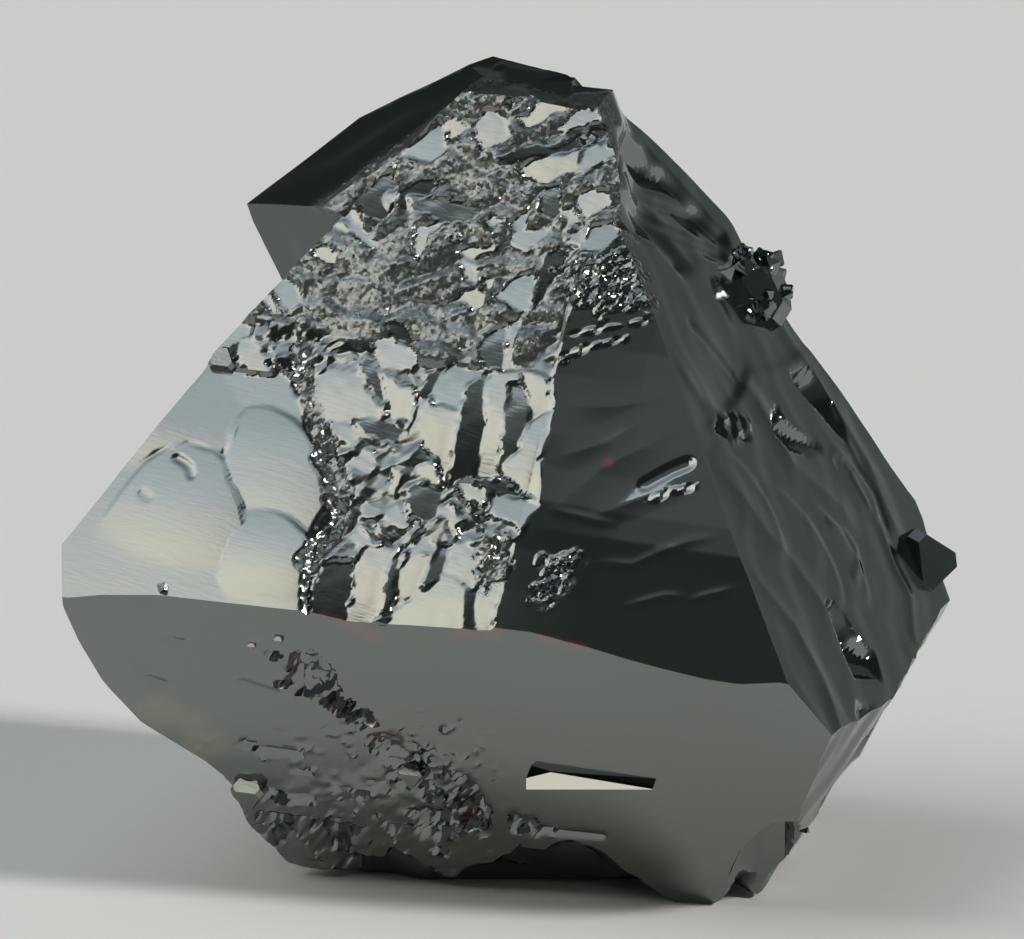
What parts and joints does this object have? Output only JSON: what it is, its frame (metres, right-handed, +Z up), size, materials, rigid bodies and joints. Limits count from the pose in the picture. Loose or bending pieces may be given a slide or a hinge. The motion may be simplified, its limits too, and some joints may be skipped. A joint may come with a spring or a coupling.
{
  "type": "cuprite specimen",
  "caption": "Dark cuprite hand specimen: an intergrown octahedral crystal with growth relief, standing on its broken base.",
  "frame": {"origin": "centre of the footprint of the specimen's bounding box, on the plane that it stands on", "axes": "+Z up from the broken base; the large bright face looks towards -Y and up, the second crystal's corner lies towards -X"},
  "size_m": [0.0398, 0.0411, 0.0352],
  "materials": {
    "cuprite": "adamantine to submetallic lustre, dark grey with a deep red at thin edges"
  },
  "bodies": {
    "root": {"cuprite_crystal": "cuprite"}
  },
  "joints": []
}
